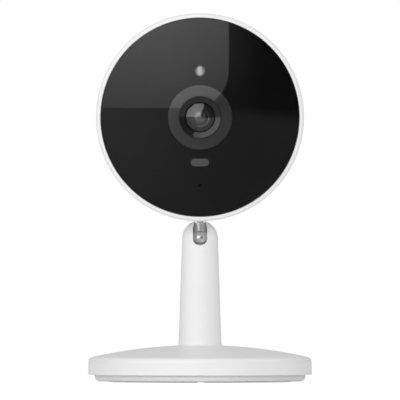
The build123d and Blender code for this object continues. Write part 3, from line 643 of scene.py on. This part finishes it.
class CAMERALOOKS_OT_front_window(bpy.types.Operator):
    """Finish the window, its tape and the black mask behind it."""

    bl_idname = "cameralooks.front_window"
    bl_label = "Front window"

    def execute(self, context):
        dress(cast_clear_acrylic(), "front_window")
        dress(die_cut_black_tape(), "window_tape")
        dress(sprayed_black_mask(), "front_frame")
        return {"FINISHED"}


class CAMERALOOKS_OT_lens(bpy.types.Operator):
    """Finish the lens, its ring, its barrel and the filter behind it."""

    bl_idname = "cameralooks.lens"
    bl_label = "Lens"

    def execute(self, context):
        front = context.scene.camera_front
        dress(moulded_grey_pc(front.ring), "lens_hood")
        dress(moulded_black_pc("moulded_barrel_pc", ("#0C0C0C", "#121212"), rough=(0.1, 0.15), sheen=0.42),
              "lens_barrel")
        dress(moulded_black_pc("moulded_holder_pc", ("#101010", "#151515"), rough=(0.5, 0.6)),
              "lens_holder", "filter_slider")
        dress(grooved_dark_aluminium(), "aperture_stop")
        dress(ground_lens_glass("ground_front_glass", ("#FAFBFC", "#FFFFFF"), index=front.lens_ior),
              "front_lens")
        # A lower index than glass has stands for the coat that dims the inner lenses' mirror images
        dress(ground_lens_glass("ground_inner_glass", ("#F4F7F8", "#FBFCFC"), index=1.35), "inner_lenses")
        dress(coated_filter_glass("infrared_cut_glass", ("#BFE0DC", "#D0EAE8")), "ir_cut_glass")
        dress(coated_filter_glass("plain_filter_glass", ("#F2F4F4", "#FAFBFB")), "clear_glass")
        dress(enamelled_copper_wire(), "filter_coil")
        return {"FINISHED"}


class CAMERALOOKS_OT_lights(bpy.types.Operator):
    """Make the infrared lamp's lens and package, and finish the status light and its pipe."""

    bl_idname = "cameralooks.lights"
    bl_label = "Lights"

    def execute(self, context):
        low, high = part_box("ir_led")
        centre = (low + high) / 2
        centre.y = 0.0
        radius = (high.x - low.x) / 2
        front = low.y
        seat = high.y
        back = front + LED_LENS_DEPTH
        crown = []
        for i in range(LED_CROWN_STEPS + 1):
            turn = math.pi / 2 * i / LED_CROWN_STEPS
            crown.append((radius * math.sin(turn), front + LED_CROWN * (1.0 - math.cos(turn))))
        epoxy = cast_clear_epoxy()
        lens = lathe([*crown, (radius, back), (0.0, back)], centre)
        shown = piece("led_lens", lens, epoxy, "head")
        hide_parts("ir_led")
        package = bmesh.new()
        bevelled_box(package, (centre.x, (back + LED_GAP + seat) / 2, centre.z),
                     (LED_PACKAGE_WIDTH, seat - back - LED_GAP, LED_PACKAGE_WIDTH), LED_PACKAGE_BEVEL)
        piece("led_package", package, moulded_lamp_package(), "head")
        dress(epoxy, "status_led")
        dress(frosted_diffuser_pc(context.scene.camera_front.pipe), "light_pipe")
        return {"FINISHED"}


class CAMERALOOKS_OT_boards(bpy.types.Operator):
    """Finish the boards and what is soldered to them."""

    bl_idname = "cameralooks.boards"
    bl_label = "Boards"

    def execute(self, context):
        dress(solder_masked_board(), "main_board", "led_board")
        dress(moulded_chip_epoxy(), "board_chips", "image_sensor", "reset_switch")
        dress(drawn_tinned_steel(), "radio_can", "microphone", "card_socket", "power_inlet")
        dress(filled_thermal_silicone(), "thermal_pad")
        dress(brushed_aluminium(), "heat_spreader")
        dress(polyimide_film(), "board_flex", "antenna")
        return {"FINISHED"}


class CAMERALOOKS_OT_sound(bpy.types.Operator):
    """Make the microphone's dust mesh and finish the speaker, its lead and the gaskets."""

    bl_idname = "cameralooks.sound"
    bl_label = "Sound"

    def execute(self, context):
        dress(foamed_gasket(), "speaker_gasket", "mic_gasket")
        low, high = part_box("mic_gasket")
        centre = (low + high) / 2
        centre.y = 0.0
        front = low.y - MESH_FORWARD
        profile = [(radius * MM, front + depth * MM) for radius, depth in MESH_PROFILE]
        piece("mic_mesh", lathe(profile, centre, MESH_STEPS), woven_dust_mesh(), "head")
        dress(moulded_black_pc("moulded_basket_pc", ("#141414", "#1B1B1B"), rough=(0.42, 0.55)), "speaker")
        dress(pressed_cone_film(), "speaker_cone")
        dress(extruded_wire_cover(), "speaker_lead")
        return {"FINISHED"}


class CAMERALOOKS_OT_rear_openings(bpy.types.Operator):
    """Make the inlet's contacts and finish the reset button."""

    bl_idname = "cameralooks.rear_openings"
    bl_label = "Rear openings"

    def execute(self, context):
        low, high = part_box("power_inlet")
        centre = (low + high) / 2
        deep = high.y - CONTACT_INSET
        contacts = bmesh.new()
        for side in (-1.0, 1.0):
            for i in range(CONTACT_COUNT):
                across = centre.x + (i - (CONTACT_COUNT - 1) / 2) * CONTACT_PITCH
                up = centre.z + side * CONTACT_RISE
                bevelled_box(contacts, (across, deep, up), CONTACT_SIZE, CONTACT_BEVEL)
        piece("inlet_contacts", contacts, gold_plated_contacts(), "head")
        dress(moulded_black_pc("moulded_button_pc", ("#1A1A1A", "#222222"), rough=(0.4, 0.5)),
              "reset_button")
        return {"FINISHED"}


class CAMERALOOKS_OT_stage(bpy.types.Operator):
    """Make the floor, the white room, the soft lamp, the cards that the window mirrors, and the camera."""

    bl_idname = "cameralooks.stage"
    bl_label = "Stage"

    def execute(self, context):
        stage = context.scene.camera_stage
        self.light_room(context.scene, stage)
        self.lay_floor()
        self.hang_lamp(context.scene, stage)
        self.set_cards(stage)
        self.place_camera(context.scene, stage)
        context.scene.view_settings.view_transform = "Standard"
        return {"FINISHED"}

    def seen_directly(self, tree):
        """A socket that is 1 for rays from the camera, mirrors and glass, and 0 for light on matt faces."""
        path = add(tree, "ShaderNodeLightPath")
        mirrored = add(tree, "ShaderNodeMath", {
            0: path.outputs["Is Glossy Ray"], 1: path.outputs["Is Transmission Ray"],
        }, operation="MAXIMUM")
        return add(tree, "ShaderNodeMath", {
            0: path.outputs["Is Camera Ray"], 1: mirrored.outputs[0],
        }, operation="MAXIMUM").outputs[0]

    def light_room(self, scene, stage):
        """Lights the object evenly, and shows white where a ray leaves the stage."""
        world = bpy.data.worlds.new("white_room")
        scene.world = world
        tree = empty_tree(world)
        strength = add(tree, "ShaderNodeMix", {0: self.seen_directly(tree), 2: stage.room_light, 3: 1.0})
        room = add(tree, "ShaderNodeBackground", {"Color": WHITE, "Strength": strength.outputs[0]})
        add(tree, "ShaderNodeOutputWorld", {"Surface": room.outputs[0]})

    def lay_floor(self):
        """Lays a white disc that keeps a faint shadow under the object."""
        shape = bmesh.new()
        bmesh.ops.create_circle(shape, cap_ends=True, radius=FLOOR_RADIUS, segments=FLOOR_SIDES)
        floor = put("floor", shape)
        floor.location.z = -FLOOR_DROP
        material = bpy.data.materials.new("painted_floor")
        tree = empty_tree(material)
        seen = self.seen_directly(tree)
        paint = add(tree, "ShaderNodeBsdfDiffuse", {"Color": opaque(linear("#F8F8F8"))})
        shadow = add(tree, "ShaderNodeBsdfDiffuse", {"Color": FLOOR_SHADE})
        glow = add(tree, "ShaderNodeEmission", {"Color": WHITE, "Strength": FLOOR_GLOW})
        shown = add(tree, "ShaderNodeAddShader", {0: shadow.outputs[0], 1: glow.outputs[0]})
        both = add(tree, "ShaderNodeMixShader", {0: seen, 1: paint.outputs[0], 2: shown.outputs[0]})
        add(tree, "ShaderNodeOutputMaterial", {"Surface": both.outputs[0]})
        floor.data.materials.append(material)

    def hang_lamp(self, scene, stage):
        """Hangs a large soft lamp at the front left, which lights but isn't mirrored."""
        data = bpy.data.lights.new("key", "AREA")
        data.energy = stage.key_power
        data.shape = "RECTANGLE"
        data.size = KEY_WIDTH
        data.size_y = KEY_HEIGHT
        lamp = bpy.data.objects.new("key", data)
        lamp.location = KEY_PLACE
        lamp.rotation_euler = (HEAD_CENTRE - KEY_PLACE).to_track_quat("-Z", "Y").to_euler()
        lamp.visible_glossy = False
        lamp.visible_transmission = False
        scene.collection.objects.link(lamp)

    def set_cards(self, stage):
        """Sets a bright card with a rounded corner before a dark one, for the window and lens to mirror."""
        reach = stage.card_distance
        spread = 1.0 + reach / (stage.view_distance + WINDOW_FRONT)
        right = CARD_RIGHT * spread
        bottom = stage.view_height + (CARD_BOTTOM - stage.view_height) * spread
        bend = CARD_BEND * spread
        outline = [(-CARD_FAR, CARD_FAR), (-CARD_FAR, bottom)]
        for i in range(CARD_BEND_STEPS + 1):
            turn = math.pi / 2 * (i / CARD_BEND_STEPS - 1.0)
            outline.append((right - bend + bend * math.cos(turn), bottom + bend + bend * math.sin(turn)))
        outline.extend([(right, bottom + CARD_UPRIGHT), (right + CARD_LEAN * CARD_FAR, CARD_FAR)])
        middle = Vector((0.0, 0.0, stage.view_height + (HEAD_CENTRE.z - stage.view_height) * spread))
        origin = Vector((0.0, 0.0, 0.0))
        front = WINDOW_FRONT - reach
        back = front - DARK_CARD_GAP
        wide = self.sheet(DARK_CARD_REACH, 0.0, DARK_CARD_REACH)
        under = self.sheet(FLOOR_CARD_REACH, back, FLOOR_CARD_END)
        behind = self.sheet(BACK_CARD_REACH, 0.0, BACK_CARD_HEIGHT)
        self.card("bright_card", outline, front, middle, self.bright_face)
        self.card("dark_card", wide, back, middle, self.dark_face)
        self.card("grey_floor_card", under, FLOOR_CARD_RISE, origin, self.grey_face, lying=True)
        self.card("grey_back_card", behind, BACK_CARD_PLACE, origin, self.grey_face)

    def sheet(self, reach, low, high):
        """The corners of a sheet that reaches as far left as right, between a low and a high edge."""
        return [(-reach, low), (reach, low), (reach, high), (-reach, high)]

    def card(self, name, outline, depth, middle, face, lying=False):
        """Makes a flat card that only mirrors and glass show, with its own origin at a middle point.

        The depth is its place along Y or, for a lying card, its height."""
        shape = bmesh.new()
        corners = [(x - middle.x, z - middle.z) for x, z in outline]
        if lying:
            shape.faces.new([shape.verts.new((x, y, depth)) for x, y in corners])
            depth = 0.0
        else:
            shape.faces.new([shape.verts.new((x, 0.0, z)) for x, z in corners])
        made = put(name, shape)
        made.location = (middle.x, depth, middle.z)
        made.visible_camera = False
        made.visible_diffuse = False
        made.visible_shadow = False
        material = bpy.data.materials.new(name)
        tree = empty_tree(material)
        place = add(tree, "ShaderNodeTexCoord").outputs["Object"]
        glow = add(tree, "ShaderNodeEmission", {"Strength": face(tree, place)})
        # Rays that have left a matt face pass through, so the card doesn't light the case
        lit = add(tree, "ShaderNodeLightPath").outputs["Diffuse Depth"]
        clear = add(tree, "ShaderNodeBsdfTransparent")
        both = add(tree, "ShaderNodeMixShader", {0: lit, 1: glow.outputs[0], 2: clear.outputs[0]})
        add(tree, "ShaderNodeOutputMaterial", {"Surface": both.outputs[0]})
        made.data.materials.append(material)

    def fade(self, tree, place, way, start, end, first, last):
        """The strength of light that fades across a card, from a first value to a last one.

        It does so between a start and an end, in millimetres from the middle along a way."""
        if way is OUTWARDS:
            along = add(tree, "ShaderNodeVectorMath", {0: place}, operation="LENGTH")
        else:
            along = add(tree, "ShaderNodeVectorMath", {0: place, 1: way}, operation="DOT_PRODUCT")
        return add(tree, "ShaderNodeMapRange", {
            "Value": along.outputs["Value"], "From Min": start * MM, "From Max": end * MM,
            "To Min": first, "To Max": last,
        }, interpolation_type="SMOOTHSTEP").outputs["Result"]

    def bright_face(self, tree, place):
        """Brighter towards the top and the left, and brightest far out, where only the lens mirrors it."""
        upper = self.fade(tree, place, UP, start=-6.0, end=42.0, first=0.5, last=1.15)
        left = self.fade(tree, place, RIGHT, start=-16.0, end=14.0, first=1.0, last=0.74)
        near = add(tree, "ShaderNodeMath", {0: upper, 1: left}, operation="MULTIPLY")
        far = self.fade(tree, place, OUTWARDS, start=60.0, end=200.0, first=0.0, last=0.7)
        return add(tree, "ShaderNodeMath", {0: near.outputs[0], 1: far}).outputs[0]

    def dark_face(self, tree, place):
        """Darkest at the right above the middle, lighter below and to the left, and lightest far down."""
        lower = self.fade(tree, place, UP, start=-36.0, end=4.0, first=0.21, last=0.29)
        left = self.fade(tree, place, RIGHT, start=-36.0, end=16.0, first=lower, last=0.135)
        below = self.fade(tree, place, SLANT, start=6.0, end=0.5, first=0.0, last=1.0)
        beside = self.fade(tree, place, UP, start=4.0, end=24.0, first=0.07, last=0.15)
        edge = self.fade(tree, place, RIGHT, start=8.0, end=22.0, first=beside, last=0.037)
        near = add(tree, "ShaderNodeMix", {0: below, 2: edge, 3: left})
        far = self.fade(tree, place, OUTWARDS, start=100.0, end=300.0, first=0.0, last=0.14)
        beyond = add(tree, "ShaderNodeMath", {0: near.outputs[0], 1: far})
        outside = self.fade(tree, place, OUTWARDS, start=36.0, end=70.0, first=0.0, last=0.35)
        low = self.fade(tree, place, UP, start=-20.0, end=-45.0, first=0.0, last=1.0)
        return add(tree, "ShaderNodeMath", {
            0: outside, 1: low, 2: beyond.outputs[0],
        }, operation="MULTIPLY_ADD").outputs[0]

    def grey_face(self, tree, place):
        """One even mid grey."""
        return GREY_CARD_GLOW

    def place_camera(self, scene, stage):
        """Places a long camera straight in front, level with the picture's middle."""
        data = bpy.data.cameras.new("front_view")
        data.sensor_width = SENSOR_WIDTH
        data.lens = SENSOR_WIDTH * stage.view_distance / stage.frame_width
        data.clip_end = VIEW_END
        made = bpy.data.objects.new("front_view", data)
        made.location = (0.0, -stage.view_distance, stage.view_height)
        made.rotation_euler = (math.radians(90.0), 0.0, 0.0)
        scene.collection.objects.link(made)
        scene.camera = made


class CAMERALOOKS_PT_sidebar(bpy.types.Panel):
    """Lists the camera's settings and the steps that make its looks."""

    bl_idname = "CAMERALOOKS_PT_sidebar"
    bl_label = "Security camera"
    bl_space_type = "VIEW_3D"
    bl_region_type = "UI"
    bl_category = "Camera looks"

    def draw(self, context):
        layout = self.layout
        for group in (context.scene.camera_case, context.scene.camera_front, context.scene.camera_stage):
            box = layout.box()
            for name in group.__annotations__:
                box.prop(group, name)
        for operator in OPERATORS:
            layout.operator(operator.bl_idname)


OPERATORS = (
    CAMERALOOKS_OT_white_case,
    CAMERALOOKS_OT_foot,
    CAMERALOOKS_OT_ball_joint,
    CAMERALOOKS_OT_front_window,
    CAMERALOOKS_OT_lens,
    CAMERALOOKS_OT_lights,
    CAMERALOOKS_OT_boards,
    CAMERALOOKS_OT_sound,
    CAMERALOOKS_OT_rear_openings,
    CAMERALOOKS_OT_stage,
)
CLASSES = (CaseSettings, FrontSettings, StageSettings, *OPERATORS, CAMERALOOKS_PT_sidebar)


def register():
    """Registers the classes and hangs the settings on the scene."""
    for kind in CLASSES:
        bpy.utils.register_class(kind)
    bpy.types.Scene.camera_case = PointerProperty(type=CaseSettings)
    bpy.types.Scene.camera_front = PointerProperty(type=FrontSettings)
    bpy.types.Scene.camera_stage = PointerProperty(type=StageSettings)


def unregister():
    """Takes the settings and the classes away again."""
    del bpy.types.Scene.camera_stage
    del bpy.types.Scene.camera_front
    del bpy.types.Scene.camera_case
    for kind in reversed(CLASSES):
        bpy.utils.unregister_class(kind)


def main():
    """Makes the camera's looks and stage."""
    register()
    bpy.ops.cameralooks.white_case()
    bpy.ops.cameralooks.foot()
    bpy.ops.cameralooks.ball_joint()
    bpy.ops.cameralooks.front_window()
    bpy.ops.cameralooks.lens()
    bpy.ops.cameralooks.lights()
    bpy.ops.cameralooks.boards()
    bpy.ops.cameralooks.sound()
    bpy.ops.cameralooks.rear_openings()
    bpy.ops.cameralooks.stage()


if __name__ == "__main__":
    main()
